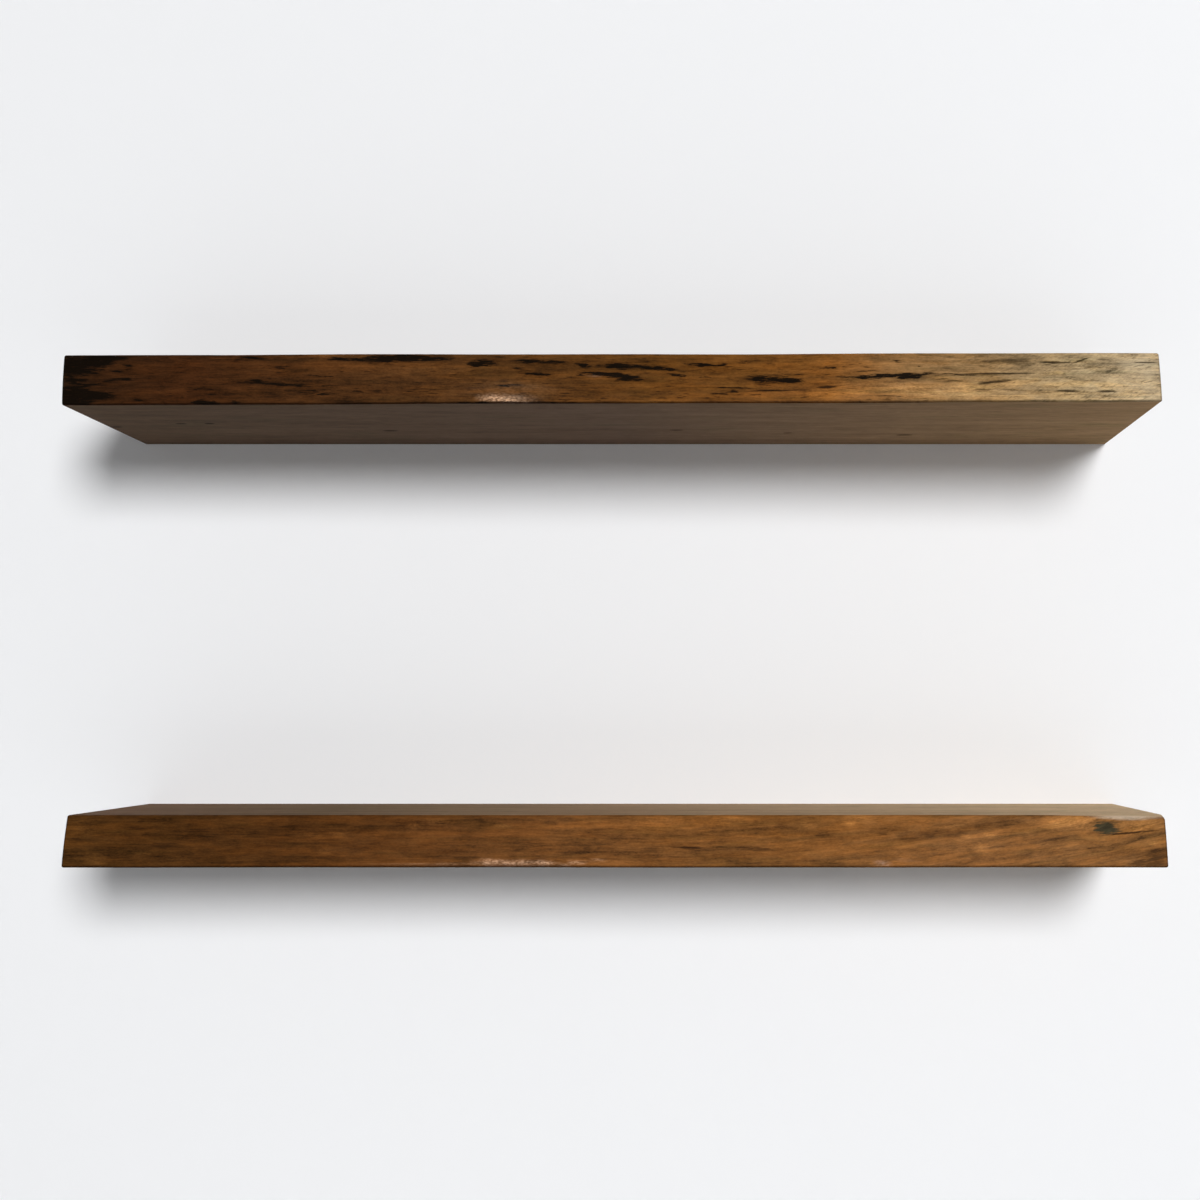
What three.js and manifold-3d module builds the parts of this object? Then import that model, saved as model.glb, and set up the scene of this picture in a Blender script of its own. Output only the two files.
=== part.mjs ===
// A pair of live-edge floating shelves. Each slab of solid wood slides on to three steel rods welded to a
// flat steel rail, and countersunk screws in nylon plugs hold the rail to the wall.
// Millimetres, +Z up. The wall is the plane y = 0 and the room is on its -Y side. The origin is the middle
// of the lower rail's wall face. A distance out from the wall is positive towards the room.
import * as THREE from "three";
import { mergeVertices } from "three/addons/utils/BufferGeometryUtils.js";
import Module from "manifold-3d";

const wasm = await Module();
wasm.setup();

// The pair
const shelfPitch = 385; // between the centre lines of the two rails

// Slabs
const slabThickness = 43;
const slabDepth = 203; // wall to lower front edge, before the edge wanders
const frontCover = 42; // wood left in front of a bore, inside slabDepth
const edgeEase = 2.5; // sanded round of the edges that show
const backEase = 0.8; // the same for the edges against the wall
const faceBow = 1; // swell of the front face between its two edges
const stationStep = 32; // between cross-sections along a slab

const swellSpan = 520; // long waves of the natural edge
const swellHeight = 1.1;
const rippleSpan = 210; // shorter waves on top of them
const rippleHeight = 0.6;
const roundFromShare = 0.88; // share of the length where a brow's wider round begins

// The foot is a board's lower front edge and the brow its upper one. The foot wanders in or out from
// slabDepth, and the brow leans back from it.
const lowerLength = 919;
const lowerShift = 4; // of its middle, sideways from the rail's
const lowerWander = 0.5;
const lowerLean = 13;
const lowerRightRound = 8; // of the brow at its right end
const upperLength = 914;
const upperShift = -1;
const upperLeftWander = -5.5;
const upperRightWander = 9;
const upperLeftLean = 5;
const upperRightLean = 12;

const boards = [
  {
    name: "lower",
    height: 0,
    length: lowerLength,
    shift: lowerShift,
    wander: [lowerWander, lowerWander],
    lean: [lowerLean, lowerLean],
    rightRound: lowerRightRound,
    footPhase: 0.4,
    browPhase: 1.9,
    colour: 0x7a4f27,
  },
  {
    name: "upper",
    height: shelfPitch,
    length: upperLength,
    shift: upperShift,
    wander: [upperLeftWander, upperRightWander],
    lean: [upperLeftLean, upperRightLean],
    rightRound: edgeEase,
    footPhase: 2.6,
    browPhase: 3.8,
    colour: 0x6e4a2c,
  },
];

// Rail
const railLength = 760;
const railHeight = 25;
const railThickness = 6;
const railCorner = 5; // radius of its four corners
const railClearance = 1; // all round it in the slab's channel
const channelSpare = 0.5; // between its room face and the channel's floor

// Rods
const rodDiameter = 12.7;
const rodInset = 50; // rail end to outer rod
const rodTipChamfer = 1.5;
const weldLeg = 3.5; // fillet weld round a rod's root
const weldShares = [
  [0, 1],
  [0.3, 0.84],
  [0.7, 0.38],
  [1, 0],
]; // bead outline: shares of the leg along the rod and out from it
const boreClearance = 0.35; // round a rod in its bore
const boreSpare = 5; // between rod tip and bore bottom
const drillPoint = THREE.MathUtils.degToRad(118); // included angle

// Screws
const screwDiameter = 6;
const screwLength = 60;
const screwHeadDiameter = 11.6;
const screwRimHeight = 0.5; // straight rim of the countersunk head
const screwSink = 0.3; // head below the rail's room face
const screwPoint = 7; // length of the tapered tip
const screwInset = 20; // rail end to outer screw
const screwClearance = 0.35; // round a screw in the rail
const driveDiameter = 5.2; // star recess across its lobes
const driveDepth = 2.2;
const driveLobes = 6;
const driveValleyShare = 0.72;

// Plugs
const plugDiameter = 10;
const plugLength = 50;
const plugSink = 2.6; // mouth below the wall's face
const plugClearance = 0.3; // round a screw in its plug
const plugRibDepth = 0.6;
const plugRibCount = 5;
const plugRibShares = [
  [0, 0],
  [0.55, 1],
  [0.8, 1],
]; // one rib: shares of its pitch, and of the rib depth that it is cut in
const plugCollar = 5; // plain stretch at the mouth
const plugNose = 5; // plain tapered stretch at the far end
const plugNoseShare = 0.86;
const plugSlotWidth = 1.2;
const plugSlotShare = 0.62; // share of the length that the expansion slots split

// How far a cutter runs past what it cuts, and how finely round things are drawn
const overrun = 4;
const rodSides = 24;
const screwSides = 16;
const plugSides = 12;
const curveSides = 4;

// Worked out from the sizes above
const rodRadius = rodDiameter / 2;
const screwRadius = screwDiameter / 2;
const headRadius = screwHeadDiameter / 2;
const boreDepth = slabDepth - frontCover;
const rodReach = boreDepth - boreSpare;
const outerRod = railLength / 2 - rodInset;
const rodPlaces = { left: -outerRod, middle: 0, right: outerRod };
const outerScrew = railLength / 2 - screwInset;
const screwPlaces = [-outerScrew, -outerRod / 2, outerRod / 2, outerScrew];

const finishes = {
  steel: { color: 0x26272a, roughness: 0.5, metalness: 0.6 },
  zinc: { color: 0xb9bcc0, roughness: 0.32, metalness: 1 },
  nylon: { color: 0x9a9ea3, roughness: 0.6, metalness: 0 },
};

// Closed geometry to solid and back

function toSolid(geometry) {
  const bare = geometry.clone();
  bare.deleteAttribute("normal");
  bare.deleteAttribute("uv");
  const merged = mergeVertices(bare);
  return new wasm.Manifold(
    new wasm.Mesh({
      numProp: 3,
      vertProperties: merged.attributes.position.array,
      triVerts: new Uint32Array(merged.index.array),
    }),
  );
}

function toGeometry(solid) {
  const { vertProperties, triVerts } = solid.getMesh();
  const geometry = new THREE.BufferGeometry();
  geometry.setAttribute("position", new THREE.BufferAttribute(vertProperties, 3));
  geometry.setIndex(new THREE.BufferAttribute(triVerts, 1));
  geometry.computeVertexNormals();
  return geometry;
}

function cutFrom(geometry, cutters) {
  const cut = cutters.reduce((left, cutter) => left.subtract(toSolid(cutter)), toSolid(geometry));
  return toGeometry(cut);
}

// A profile of [along, radius] points turned about the Y axis, in order of rising y where it is open
function turned(profile, sides) {
  const points = profile.map(([along, radius]) => new THREE.Vector2(radius, along));
  return new THREE.LatheGeometry(points, sides);
}

// The same, with its along counted out from the wall into the room
function turnedOut(profile, sides) {
  return turned(profile, sides).rotateX(Math.PI);
}

function roundedRectangle(width, height, radius) {
  const right = width / 2;
  const top = height / 2;
  const shape = new THREE.Shape();
  shape.absarc(right - radius, top - radius, radius, 0, Math.PI / 2);
  shape.absarc(radius - right, top - radius, radius, Math.PI / 2, Math.PI);
  shape.absarc(radius - right, radius - top, radius, Math.PI, 1.5 * Math.PI);
  shape.absarc(right - radius, radius - top, radius, 1.5 * Math.PI, 2 * Math.PI);
  return shape;
}

// A plate of that outline in the XZ plane, from one distance out from the wall to another
function plate(shape, from, to) {
  const settings = { depth: to - from, bevelEnabled: false, curveSegments: curveSides };
  return new THREE.ExtrudeGeometry(shape, settings).rotateX(Math.PI / 2).translate(0, -from, 0);
}

// Slab

// How far the natural edge stands out at a place along it
function waviness(x, phase) {
  const swell = swellHeight * Math.sin((2 * Math.PI * x) / swellSpan + phase);
  return swell + rippleHeight * Math.sin((2 * Math.PI * x) / rippleSpan + 2 * phase);
}

// The slab's outline across its length, as [out, up] points: back, underside, foot, face, brow and top
function crossSection(board, x, inset) {
  const share = (x - board.shift) / board.length + 1 / 2;
  const wander = THREE.MathUtils.lerp(...board.wander, share);
  const lean = THREE.MathUtils.lerp(...board.lean, share);
  const rounding = THREE.MathUtils.smoothstep(share, roundFromShare, 1);
  const browEase = THREE.MathUtils.lerp(edgeEase, board.rightRound, rounding);
  const top = slabThickness / 2 - inset;
  const out = slabDepth + wander - inset;
  const foot = new THREE.Vector2(out + waviness(x, board.footPhase), -top);
  const brow = new THREE.Vector2(out - lean + waviness(x, board.browPhase), top);
  const up = brow.clone().sub(foot).normalize();
  const faceStart = foot.clone().addScaledVector(up, edgeEase);
  const faceEnd = brow.clone().addScaledVector(up, -browEase);
  const middle = faceStart.clone().add(faceEnd).multiplyScalar(1 / 2);
  const back = (inset * backEase) / edgeEase;
  const section = new THREE.Path();
  section.moveTo(back, backEase - top);
  section.lineTo(back + backEase, -top);
  section.lineTo(foot.x - edgeEase, -top);
  section.quadraticCurveTo(foot.x, foot.y, faceStart.x, faceStart.y);
  section.quadraticCurveTo(middle.x + 2 * faceBow, middle.y, faceEnd.x, faceEnd.y);
  section.quadraticCurveTo(brow.x, brow.y, brow.x - browEase, top);
  section.lineTo(back + backEase, top);
  section.lineTo(back, top - backEase);
  return section.getPoints(curveSides);
}

// Where the cross-sections stand along the board. Round an end they are drawn in along a quarter circle.
function stations(board) {
  const straight = board.length / 2 - edgeEase;
  const rounded = [];
  for (let i = 0; i < curveSides; i++) {
    const angle = ((i / curveSides) * Math.PI) / 2;
    const past = edgeEase * Math.cos(angle);
    rounded.push({ x: straight + past, inset: edgeEase * (1 - Math.sin(angle)) });
  }
  const steps = Math.round((2 * straight) / stationStep);
  const plain = [];
  for (let i = 0; i <= steps; i++) plain.push({ x: straight * ((2 * i) / steps - 1), inset: 0 });
  const left = rounded.map(({ x, inset }) => ({ x: -x, inset }));
  return [...left, ...plain, ...rounded.reverse()].map(({ x, inset }) => ({ x: x + board.shift, inset }));
}

// A skin over the cross-sections, closed by a flat cap at each end
function loft(board) {
  const rings = stations(board).map(({ x, inset }) => ({ x, outline: crossSection(board, x, inset) }));
  const count = rings[0].outline.length;
  const points = rings.flatMap(({ x, outline }) => outline.flatMap((p) => [x, -p.x, p.y]));
  const faces = [];
  for (let ring = 0; ring < rings.length - 1; ring++)
    for (let i = 0; i < count; i++) {
      const here = ring * count + i;
      const next = ring * count + ((i + 1) % count);
      faces.push(here, next + count, next, here, here + count, next + count);
    }
  const capEnd = (ring, flip) => {
    for (const [a, b, c] of THREE.ShapeUtils.triangulateShape(rings[ring].outline, [])) {
      const corners = flip ? [a, c, b] : [a, b, c];
      faces.push(...corners.map((corner) => ring * count + corner));
    }
  };
  capEnd(0, false);
  capEnd(rings.length - 1, true);
  const geometry = new THREE.BufferGeometry();
  geometry.setAttribute("position", new THREE.Float32BufferAttribute(points, 3));
  geometry.setIndex(faces);
  return geometry;
}

function channelCutter() {
  const grow = 2 * railClearance;
  const corner = railCorner + railClearance;
  const outline = roundedRectangle(railLength + grow, railHeight + grow, corner);
  return plate(outline, -overrun, railThickness + channelSpare);
}

// A blind bore with a drill point, opened at its mouth for the weld round the rod
function boreCutter(x) {
  const bore = rodRadius + boreClearance;
  const mouth = bore + weldLeg;
  const floor = railThickness + channelSpare;
  const profile = [
    [0, 0],
    [0, mouth],
    [floor, mouth],
    [floor + weldLeg, bore],
    [boreDepth, bore],
    [boreDepth + bore / Math.tan(drillPoint / 2), 0],
  ];
  return turnedOut(profile, rodSides).translate(x, 0, 0);
}

function slab(board) {
  const bores = Object.values(rodPlaces).map(boreCutter);
  return cutFrom(loft(board), [channelCutter(), ...bores]);
}

// Rail

// A screw's outline along +Y from its head, grown all round by a clearance
function screwOutline(clearance) {
  const radius = screwRadius + clearance;
  const head = headRadius + clearance;
  const top = screwSink - railThickness;
  const rim = top + screwRimHeight;
  return { radius, head, top, rim, neck: rim + head - radius };
}

function screwHoleCutter(x) {
  const { radius, head, rim, neck } = screwOutline(screwClearance);
  const profile = [
    [-railThickness - overrun, 0],
    [-railThickness - overrun, head],
    [rim, head],
    [neck, radius],
    [overrun, radius],
    [overrun, 0],
  ];
  return turned(profile, screwSides).translate(x, 0, 0);
}

function rail() {
  const bar = plate(roundedRectangle(railLength, railHeight, railCorner), 0, railThickness);
  return cutFrom(bar, screwPlaces.map(screwHoleCutter));
}

// Rod, with the bead of the weld round its root
function rod() {
  const bead = weldShares.map(([along, out]) => [railThickness + weldLeg * along, rodRadius + weldLeg * out]);
  const profile = [
    [railThickness, 0],
    ...bead,
    [rodReach - rodTipChamfer, rodRadius],
    [rodReach, rodRadius - rodTipChamfer],
    [rodReach, 0],
  ];
  return turnedOut(profile, rodSides);
}

// Screw

function starCutter(top) {
  const star = new THREE.Shape();
  const tips = 2 * driveLobes;
  for (let i = 0; i < tips; i++) {
    const reach = (driveDiameter / 2) * (i % 2 ? driveValleyShare : 1);
    const angle = (i / tips) * 2 * Math.PI;
    star[i ? "lineTo" : "moveTo"](reach * Math.cos(angle), reach * Math.sin(angle));
  }
  return plate(star, -top - driveDepth, overrun - top);
}

function screw() {
  const { radius, head, top, rim, neck } = screwOutline(0);
  const tip = top + screwLength;
  const profile = [
    [top, 0],
    [top, head],
    [rim, head],
    [neck, radius],
    [tip - screwPoint, radius],
    [tip, 0],
  ];
  return cutFrom(turned(profile, screwSides), [starCutter(top)]);
}

// Plug: a ribbed tube that two crossed slots split from its far end
function plug() {
  const outer = plugDiameter / 2;
  const bore = screwRadius + plugClearance;
  const mouth = plugSink;
  const end = mouth + plugLength;
  const pitch = (plugLength - plugCollar - plugNose) / plugRibCount;
  const ribs = [];
  for (let i = 0; i < plugRibCount; i++)
    for (const [along, depth] of plugRibShares)
      ribs.push([mouth + plugCollar + pitch * (i + along), outer - plugRibDepth * depth]);
  const profile = [
    [mouth, bore],
    [mouth, outer],
    ...ribs,
    [end - plugNose, outer],
    [end, outer * plugNoseShare],
    [end, bore],
    [mouth, bore],
  ];
  const slotLength = plugLength * plugSlotShare + overrun;
  const slot = new THREE.BoxGeometry(plugSlotWidth, slotLength, plugDiameter + overrun);
  slot.translate(0, end + overrun - slotLength / 2, 0);
  return cutFrom(turned(profile, plugSides), [slot, slot.clone().rotateY(Math.PI / 2)]);
}

// The assembly

function piece(name, geometry, finish, x = 0) {
  const mesh = new THREE.Mesh(geometry, new THREE.MeshStandardMaterial(finish));
  mesh.name = name;
  mesh.position.x = x;
  return mesh;
}

const shared = { rail: rail(), rod: rod(), screw: screw(), plug: plug() };

function shelf(board) {
  const group = new THREE.Group();
  const add = (name, ...rest) => group.add(piece(`${board.name}_${name}`, ...rest));
  add("slab", slab(board), { color: board.colour, roughness: 0.35, metalness: 0 });
  add("wall_rail", shared.rail, finishes.steel);
  for (const [side, x] of Object.entries(rodPlaces)) add(`rod_${side}`, shared.rod, finishes.steel, x);
  screwPlaces.forEach((x, i) => {
    add(`screw_${i + 1}`, shared.screw, finishes.zinc, x);
    add(`plug_${i + 1}`, shared.plug, finishes.nylon, x);
  });
  group.position.z = board.height;
  return group;
}

const pair = new THREE.Group();
for (const board of boards) pair.add(shelf(board));

export default pair;
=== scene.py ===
# A pair of live-edge floating shelves on hidden rod rails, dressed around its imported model
import math

import bmesh
import bpy
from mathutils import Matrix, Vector, noise


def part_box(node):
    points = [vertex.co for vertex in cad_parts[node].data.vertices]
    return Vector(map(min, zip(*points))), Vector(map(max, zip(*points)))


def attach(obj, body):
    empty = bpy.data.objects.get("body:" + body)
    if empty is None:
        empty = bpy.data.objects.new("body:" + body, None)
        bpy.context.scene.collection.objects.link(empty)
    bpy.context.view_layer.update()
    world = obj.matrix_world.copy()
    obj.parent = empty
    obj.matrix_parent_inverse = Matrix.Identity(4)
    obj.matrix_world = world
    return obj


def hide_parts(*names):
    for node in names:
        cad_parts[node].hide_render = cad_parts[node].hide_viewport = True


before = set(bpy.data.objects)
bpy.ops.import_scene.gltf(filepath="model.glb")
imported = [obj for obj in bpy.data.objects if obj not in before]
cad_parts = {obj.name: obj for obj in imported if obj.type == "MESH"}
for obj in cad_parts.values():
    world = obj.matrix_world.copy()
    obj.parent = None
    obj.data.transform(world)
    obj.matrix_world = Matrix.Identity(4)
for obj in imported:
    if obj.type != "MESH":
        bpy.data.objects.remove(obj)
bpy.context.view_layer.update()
print("frame loaded with", len(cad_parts), "nodes")

mm = 0.001
facingRoom = (math.pi / 2, 0, 0)  # turns a flat shape, or the camera, square to the wall
weldGap = 0.01 * mm
axisGap = 0.1 * mm  # a vertex nearer to its turning axis has no angle


# Editing helpers

def clearSelection():
    bpy.ops.object.select_all(action="DESELECT")


def activate(piece):
    clearSelection()
    piece.select_set(True)
    bpy.context.view_layer.objects.active = piece


def edit(piece):
    activate(piece)
    bpy.ops.object.mode_set(mode="EDIT")


def leaveEdit():
    bpy.ops.object.mode_set(mode="OBJECT")


def middle(part):
    verts = [part] if isinstance(part, bmesh.types.BMVert) else part.verts
    return sum((v.co for v in verts), Vector()) / len(verts)


def span(edge):
    return edge.verts[1].co - edge.verts[0].co


def pick(piece, kind, test):
    # selects the verts, edges or faces that pass the test, and nothing else
    bpy.ops.mesh.select_mode(type=kind)
    bpy.ops.mesh.select_all(action="DESELECT")
    mesh = bmesh.from_edit_mesh(piece.data)
    parts = {"VERT": mesh.verts, "EDGE": mesh.edges, "FACE": mesh.faces}[kind]
    for part in parts:
        part.select_set(test(part))
    mesh.select_flush_mode()
    bmesh.update_edit_mesh(piece.data)


def applyModifier(piece, kind, **settings):
    activate(piece)
    modifier = piece.modifiers.new(kind.lower(), kind)
    for key, value in settings.items():
        setattr(modifier, key, value)
    bpy.ops.object.modifier_apply(modifier=modifier.name)


def smoothByAngle(piece, degrees):
    activate(piece)
    bpy.ops.object.shade_smooth_by_angle(angle=math.radians(degrees))


def applyPlace(piece):
    activate(piece)
    bpy.ops.object.transform_apply(location=True, rotation=True, scale=True)


def addShape(kind, name, scale=(1, 1, 1), **settings):
    # a plane, cube or circle as a piece of its own
    clearSelection()
    getattr(bpy.ops.mesh, f"primitive_{kind}_add")(**settings)
    piece = bpy.context.active_object
    piece.name = piece.data.name = name
    piece.scale = scale
    applyPlace(piece)
    return piece


def combine(piece, other, operation="DIFFERENCE", **settings):
    # cuts the other piece out of this one, or joins it on, and clears it away
    applyModifier(piece, "BOOLEAN", object=other, operation=operation, solver="EXACT", **settings)
    bpy.data.objects.remove(other)


def nodeCentre(node):
    # along X and Z
    low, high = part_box(node)
    return ((low.x + high.x) / 2, (low.z + high.z) / 2)


def copyPiece(piece, name, move):
    made = piece.copy()
    made.data = piece.data.copy()
    made.name = made.data.name = name
    bpy.context.scene.collection.objects.link(made)
    made.location = move
    applyPlace(made)
    return made


def smoothStep(value, low, high):
    share = min(1, max(0, (value - low) / (high - low)))
    return share * share * (3 - 2 * share)


def blend(first, second, share):
    return first + (second - first) * share


def turnRings(name, rings, sides, centre=(0, 0), capped=True):
    # turned about an axis out of the wall: each ring is (distance out from the wall, radius)
    firstOut, firstRadius = rings[0]
    place = (centre[0], -firstOut, centre[1])
    piece = addShape("circle", name, vertices=sides, radius=firstRadius, location=place, rotation=facingRoom)
    edit(piece)
    bpy.ops.mesh.select_all(action="SELECT")
    if capped:
        bpy.ops.mesh.extrude_region_move()
        bpy.ops.mesh.merge(type="CENTER")
        pick(piece, "VERT", lambda v: math.hypot(v.co.x - centre[0], v.co.z - centre[1]) > firstRadius / 2)
    out, radius = firstOut, firstRadius
    for nextOut, nextRadius in rings[1:]:
        bpy.ops.mesh.extrude_region_move(TRANSFORM_OT_translate={"value": (0, out - nextOut, 0)})
        if nextRadius != radius:
            grow = nextRadius / radius
            bpy.ops.transform.resize(value=(grow, 1, grow), center_override=(centre[0], -nextOut, centre[1]))
        out, radius = nextOut, nextRadius
    if capped:
        bpy.ops.mesh.extrude_region_move()
        bpy.ops.mesh.merge(type="CENTER")
    bpy.ops.mesh.select_all(action="SELECT")
    bpy.ops.mesh.remove_doubles(threshold=weldGap)
    bpy.ops.mesh.normals_make_consistent(inside=False)
    leaveEdit()
    return piece


# Shader helpers

def tint(red, green, blue):
    # an sRGB colour, 0 to 255, as the linear one that sockets take
    def linear(level):
        share = level / 255
        return share / 12.92 if share < 0.04045 else ((share + 0.055) / 1.055) ** 2.4

    return (linear(red), linear(green), linear(blue), 1)


class Wire:
    # one shader socket, with the arithmetic that adds Math nodes behind it
    def __init__(self, finish, socket):
        self.finish = finish
        self.socket = socket

    def calc(self, operation, first, second=0.0):
        return self.finish.node("ShaderNodeMath", {"operation": operation}, {0: first, 1: second})

    def __add__(self, other):
        return self.calc("ADD", self, other)

    def __radd__(self, other):
        return self.calc("ADD", other, self)

    def __sub__(self, other):
        return self.calc("SUBTRACT", self, other)

    def __rsub__(self, other):
        return self.calc("SUBTRACT", other, self)

    def __mul__(self, other):
        return self.calc("MULTIPLY", self, other)

    def __neg__(self):
        return self.calc("MULTIPLY", self, -1.0)

    def size(self):
        return self.calc("ABSOLUTE", self)

    def most(self, other):
        return self.calc("MAXIMUM", self, other)

    def root(self):
        return self.calc("SQRT", self)


class Finish:
    # one material, its nodes, and the patterns that its finish is mixed from
    def __init__(self, name):
        self.material = bpy.data.materials.new(name)
        self.material.use_nodes = True
        self.tree = self.material.node_tree
        self.tree.nodes.clear()
        self.place = self.node("ShaderNodeTexCoord", out="Object")

    def node(self, kind, settings=None, sockets=None, out=0):
        made = self.tree.nodes.new(kind)
        for key, value in (settings or {}).items():
            if key == "stops":
                fillRamp(made.color_ramp, value)
            else:
                setattr(made, key, value)
        for key, value in (sockets or {}).items():
            if isinstance(value, Wire):
                self.tree.links.new(value.socket, made.inputs[key])
            else:
                made.inputs[key].default_value = value
        return Wire(self, made.outputs[out]) if made.outputs else None

    def step(self, value, low, high):
        settings = {"interpolation_type": "SMOOTHSTEP"}
        return self.node("ShaderNodeMapRange", settings, {0: value, 1: low, 2: high})

    def mix(self, factor, first, second, way="MIX"):
        settings = {"data_type": "RGBA", "blend_type": way, "clamp_factor": True}
        return self.node("ShaderNodeMix", settings, {0: factor, 6: first, 7: second}, out=2)

    def tinge(self, factor, colour, kind):
        # a colour with its channels multiplied by the kind's factors
        return self.mix(factor, colour, self.mix(1.0, colour, channelFactors[kind], "MULTIPLY"))

    def shade(self, colour, level):
        # a colour made lighter or darker by a plain number
        colour = colour if isinstance(colour, Wire) else colour[:3]
        return self.node("ShaderNodeVectorMath", {"operation": "SCALE"}, {0: colour, 3: level})

    def ramp(self, value, stops):
        return self.node("ShaderNodeValToRGB", {"stops": stops}, {0: value})

    def noise(self, grain, detail=3.0, rough=0.55, shift=(0, 0, 0), warp=0.0, place=None):
        # grain is how long the features are along X, Y and Z, in millimetres
        scale = tuple(1 / (size * mm) for size in grain)
        sockets = {"Vector": place or self.place, "Location": shift, "Scale": scale}
        mapped = self.node("ShaderNodeMapping", sockets=sockets)
        sockets = {"Vector": mapped, "Scale": 1.0, "Detail": detail, "Roughness": rough, "Distortion": warp}
        return self.node("ShaderNodeTexNoise", sockets=sockets)

    def attribute(self, name):
        return self.node("ShaderNodeAttribute", {"attribute_name": name}, out="Fac")

    def axes(self, vector):
        split = self.node("ShaderNodeSeparateXYZ", sockets={0: vector})
        return [Wire(self, output) for output in split.socket.node.outputs]

    def join(self, x, y, z):
        return self.node("ShaderNodeCombineXYZ", sockets={0: x, 1: y, 2: z})

    def facing(self):
        # the piece's own normal, split along X, Y and Z
        return self.axes(self.node("ShaderNodeTexCoord", out="Normal"))

    def distance(self, across, over, centre, halves):
        # 1 on the outline of an oval
        first = (across - centre[0]) * (1 / halves[0])
        second = (over - centre[1]) * (1 / halves[1])
        return (first * first + second * second).root()

    def bump(self, height, strength, distance):
        sockets = {"Height": height, "Strength": strength, "Distance": distance}
        return self.node("ShaderNodeBump", sockets=sockets)

    def surface(self, shader):
        self.node("ShaderNodeOutputMaterial", sockets={"Surface": shader})
        return self.material

    def principled(self, sockets):
        return self.surface(self.node("ShaderNodeBsdfPrincipled", sockets=sockets))


def fillRamp(ramp, stops):
    while len(ramp.elements) < len(stops):
        ramp.elements.new(1.0)
    for element, (place, colour) in zip(ramp.elements, stops):
        element.position = place
        element.color = colour


# Camera: square to the wall between the two shelves, with the picture's own shift

cameraView = {
    "place": (0.1061, -1.5862, 0.1002),
    "lens": 50,
    "sensor": 36,
    "frame": 1200,
    "eyePixel": (738, 721),  # where the wall is looked at squarely
}


def addCamera(view):
    clearSelection()
    bpy.ops.object.camera_add(location=view["place"], rotation=facingRoom)
    camera = bpy.context.active_object
    camera.data.lens = view["lens"]
    camera.data.sensor_width = view["sensor"]
    half = view["frame"] / 2
    camera.data.shift_x = (half - view["eyePixel"][0]) / view["frame"]
    camera.data.shift_y = (view["eyePixel"][1] - half) / view["frame"]
    bpy.context.scene.camera = camera


addCamera(cameraView)
print("camera placed")


# Stage: a pale wall, seen only from the room, a pale floor and a pale surround

stage = {
    "wallColour": tint(244, 245, 247),
    "floorColour": tint(221, 221, 221),
    "wallOffset": -0.0005,  # just in front of the shelves' backs, so that these keep their own light
    "wallWidth": 6.0,
    "wallTop": 2.6,
    "floorLevel": -2.2,
    "floorSize": (12, 13, 1),
    "surround": 0.1,  # how bright the surround is as light
}


def wallPaint():
    paint = Finish("wallPaint")
    lit = paint.node("ShaderNodeBsdfDiffuse", sockets={"Color": stage["wallColour"]})
    clear = paint.node("ShaderNodeBsdfTransparent")
    behind = paint.node("ShaderNodeNewGeometry", out="Backfacing")
    return paint.surface(paint.node("ShaderNodeMixShader", sockets={0: behind, 1: lit, 2: clear}))


def floorPaint():
    paint = Finish("floorPaint")
    return paint.surface(paint.node("ShaderNodeBsdfDiffuse", sockets={"Color": stage["floorColour"]}))


def addStage():
    level, height = stage["floorLevel"], stage["wallTop"] - stage["floorLevel"]
    place = (0, stage["wallOffset"], level + height / 2)
    scale = (stage["wallWidth"], height, 1)
    wall = addShape("plane", "wall", scale, size=1, location=place, rotation=facingRoom)
    wall.data.materials.append(wallPaint())
    floor = addShape("plane", "floor", stage["floorSize"], size=1, location=(0, 0, level))
    floor.data.materials.append(floorPaint())


def addSurround():
    world = bpy.data.worlds.new("surround")
    bpy.context.scene.world = world
    world.use_nodes = True
    nodes, links = world.node_tree.nodes, world.node_tree.links
    nodes.clear()
    path = nodes.new("ShaderNodeLightPath")
    shown = path.outputs["Is Camera Ray"]
    for ray in ("Is Glossy Ray", "Is Transmission Ray"):
        either = nodes.new("ShaderNodeMath")
        links.new(shown, either.inputs[0])
        links.new(path.outputs[ray], either.inputs[1])
        shown = either.outputs[0]
    seen = nodes.new("ShaderNodeBackground")
    seen.inputs["Color"].default_value = stage["wallColour"]
    light = nodes.new("ShaderNodeBackground")
    light.inputs["Color"].default_value = (1, 1, 1, 1)
    light.inputs["Strength"].default_value = stage["surround"]
    mixed = nodes.new("ShaderNodeMixShader")
    links.new(shown, mixed.inputs[0])
    links.new(light.outputs[0], mixed.inputs[1])
    links.new(seen.outputs[0], mixed.inputs[2])
    links.new(mixed.outputs[0], nodes.new("ShaderNodeOutputWorld").inputs["Surface"])


# Lamps: a far key from the right and above, a small one at the left for the glints, and one behind the wall

lamps = {
    "key": {
        "place": (2.8, -10.8, 2.81), "aim": (0, 0, 0.19),
        "size": 3.4, "power": 1070, "colour": (1, 1, 1),
    },
    "glint": {
        "place": (-0.98, -6.0, 2.3), "aim": (-0.1, -0.2, 0.19),
        "size": 0.4, "power": 135, "colour": (1, 0.6, 0.34),
    },
    "behind": {
        "place": (-1.6, 3.2, 1.8), "aim": (0, 0, 0.19),
        "size": 2.0, "power": 110, "colour": (1, 1, 1),
    },
}


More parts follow.
